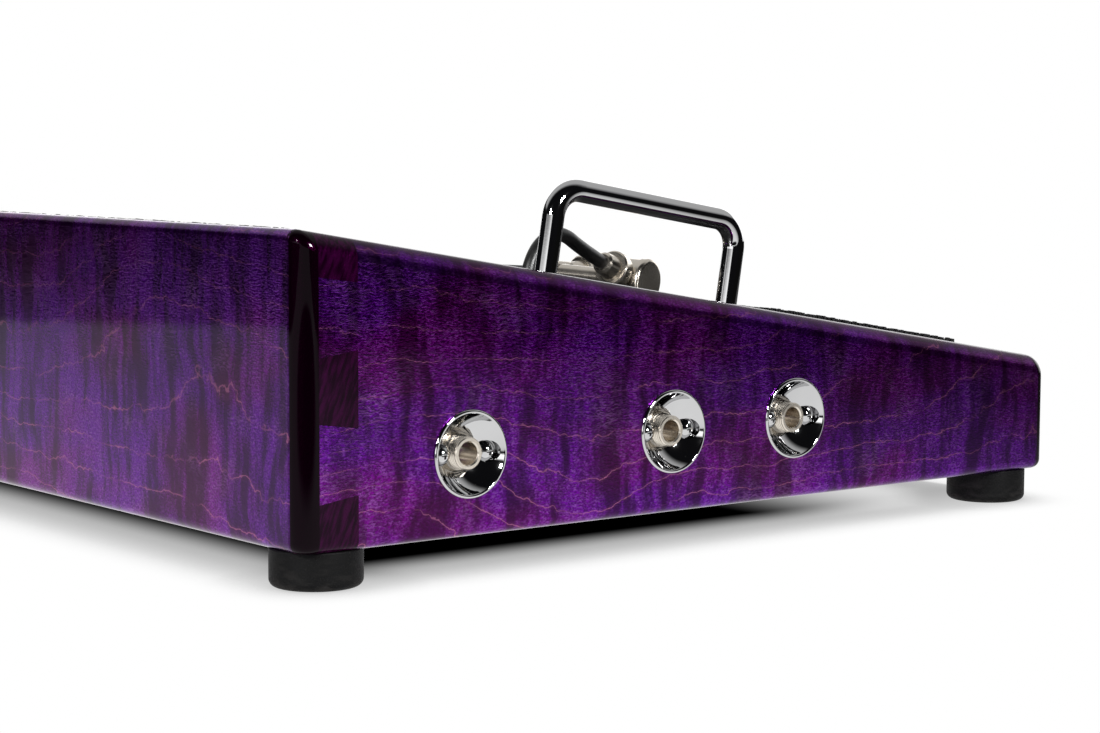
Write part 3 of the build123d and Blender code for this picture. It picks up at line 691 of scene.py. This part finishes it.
def pale_floor():
    """A pale floor, white but for the shade under the board.

    Polished surfaces see the lit sweep round the board, and dark beyond it.
    """
    s = Shader("pale_floor")
    x, y = s.place()[:2]
    under_left = s.ramp(s.math("SUBTRACT", x, LEFT), SHADE_EDGE, SHADE_CORE)
    under_right = s.ramp(s.math("SUBTRACT", -LEFT, x), SHADE_EDGE, SHADE_CORE)
    under_rear = s.ramp(s.math("SUBTRACT", REAR, y), SHADE_EDGE, SHADE_CORE)
    from_front = s.math("SUBTRACT", y, FRONT)
    under_front = s.add(
        s.ramp(from_front, -SHADE_EDGE, SHADE_EDGE, 0.0, FRONT_FAINT),
        s.ramp(from_front, *FRONT_SHADE, 0.0, 1.0 - FRONT_FAINT),
    )
    under = s.times(under_left, under_right, under_rear, under_front)
    near = s.node("AmbientOcclusion", {"Distance": FOOT_SHADE}, samples=8).outputs["AO"]
    bright = s.times(s.math("SUBTRACT", 1.0, under), s.ramp(near, *FOOT_OPEN, FOOT_DIM, 1.0))

    # The sweep, as polish shows it: lit ahead, and dark close round the camera's place.
    forward_x = s.math("SUBTRACT", x, CAMERA_PLACE.x)
    forward_y = s.math("SUBTRACT", y, CAMERA_PLACE.y)
    aside = s.add(s.times(forward_x, view_right.x), s.times(forward_y, view_right.y))
    away = s.math("SQRT", s.add(s.times(forward_x, forward_x), s.times(forward_y, forward_y)))
    lit = s.times(
        s.ramp(aside, *SWEEP_RIGHT, 1.0, 0.0),
        s.ramp(y, *SWEEP_FRONT, SWEEP_FRONT_DIM, 1.0),
        s.ramp(y, *SWEEP_REAR, 1.0, SWEEP_REAR_DIM),
        s.ramp(aside, *SWEEP_LEFT),
        s.ramp(away, *DARK_ROOM),
    )
    path = s.node("LightPath").outputs
    fill = colour(FLOOR_FILL, FLOOR_FILL, FLOOR_FILL)
    gloss = s.mix(lit, UNLIT, colour(FLOOR_GLOSS, FLOOR_GLOSS, FLOOR_GLOSS))
    glow = s.mix(path["Is Glossy Ray"], fill, gloss)
    glow = s.mix(path["Is Camera Ray"], glow, s.mix(bright, BLACK, WHITE))
    paper = s.node("Emission", {"Color": glow})
    s.tree.links.new(paper.outputs[0], s.node("OutputMaterial").inputs[0])
    return s.material


def make_floor():
    """A wide level floor, which isn't part of the object."""
    mesh = bpy.data.meshes.new("floor")
    corners = [(-1, -1), (1, -1), (1, 1), (-1, 1)]
    mesh.from_pydata([(a * FLOOR_REACH, b * FLOOR_REACH, 0) for a, b in corners], [], [(0, 1, 2, 3)])
    mesh.materials.append(pale_floor())
    floor = bpy.data.objects.new("floor", mesh)
    bpy.context.collection.objects.link(floor)


def soft_light(name, direction):
    """A square lamp that the near corner sees in that direction, turned towards the corner."""
    data = bpy.data.lights.new(name, "AREA")
    data.shape = "SQUARE"
    data.size = LAMP_SIZE
    data.energy = LAMP_RADIANCE * math.pi * LAMP_SIZE * LAMP_SIZE
    lamp = bpy.data.objects.new(name, data)
    lamp.location = NEAR_CORNER + Vector(direction).normalized() * LAMP_DISTANCE
    lamp.rotation_euler = (NEAR_CORNER - lamp.location).to_track_quat("-Z", "Y").to_euler()
    lamp.visible_camera = False
    lamp.visible_diffuse = False
    bpy.context.collection.objects.link(lamp)


def make_world():
    """White to the eye and a soft fill, but in polish a dark room.

    It has a white back, a low card on the left behind the camera, and a faint glow above.
    """
    world = bpy.data.worlds.new("studio")
    world.use_nodes = True
    bpy.context.scene.world = world
    s = Shader("studio", world.node_tree)
    direction = s.node("TexCoord").outputs["Generated"]
    dx, dy, dz = s.node("SeparateXYZ", {0: direction}).outputs
    ahead = s.add(s.times(dx, view_flat.x), s.times(dy, view_flat.y))
    aside = s.add(s.times(dx, view_right.x), s.times(dy, view_right.y))
    back = s.times(s.ramp(ahead, *BACK_AHEAD), s.ramp(aside, *BACK_ASIDE),
                   s.ramp(dz, *BACK_TOP, 1.0, 0.0))
    card = s.times(s.ramp(aside, *CARD_ASIDE, 1.0, 0.0), s.ramp(ahead, *CARD_AHEAD, 1.0, 0.0),
                   s.ramp(dz, *CARD_TOP, 1.0, 0.0))
    above = s.times(s.ramp(ahead, *ABOVE_AHEAD), s.ramp(dz, *BACK_TOP), ABOVE_GLOW)
    white = s.math("MAXIMUM", above, s.math("MAXIMUM", back, card))
    room = s.mix(white, ROOM_DARK, ROOM_WHITE)
    path = s.node("LightPath").outputs
    seen = s.mix(path["Is Glossy Ray"], ROOM_FILL, room)
    seen = s.mix(path["Is Camera Ray"], seen, WHITE)
    background = s.node("Background", {"Color": seen})
    s.tree.links.new(background.outputs[0], s.node("OutputWorld").inputs[0])


make_floor()
make_world()
for lamp_name, lamp_direction in LAMP_DIRECTIONS.items():
    soft_light(lamp_name, lamp_direction)
scene = bpy.context.scene
scene.view_settings.view_transform = "Standard"
scene.view_settings.look = "None"
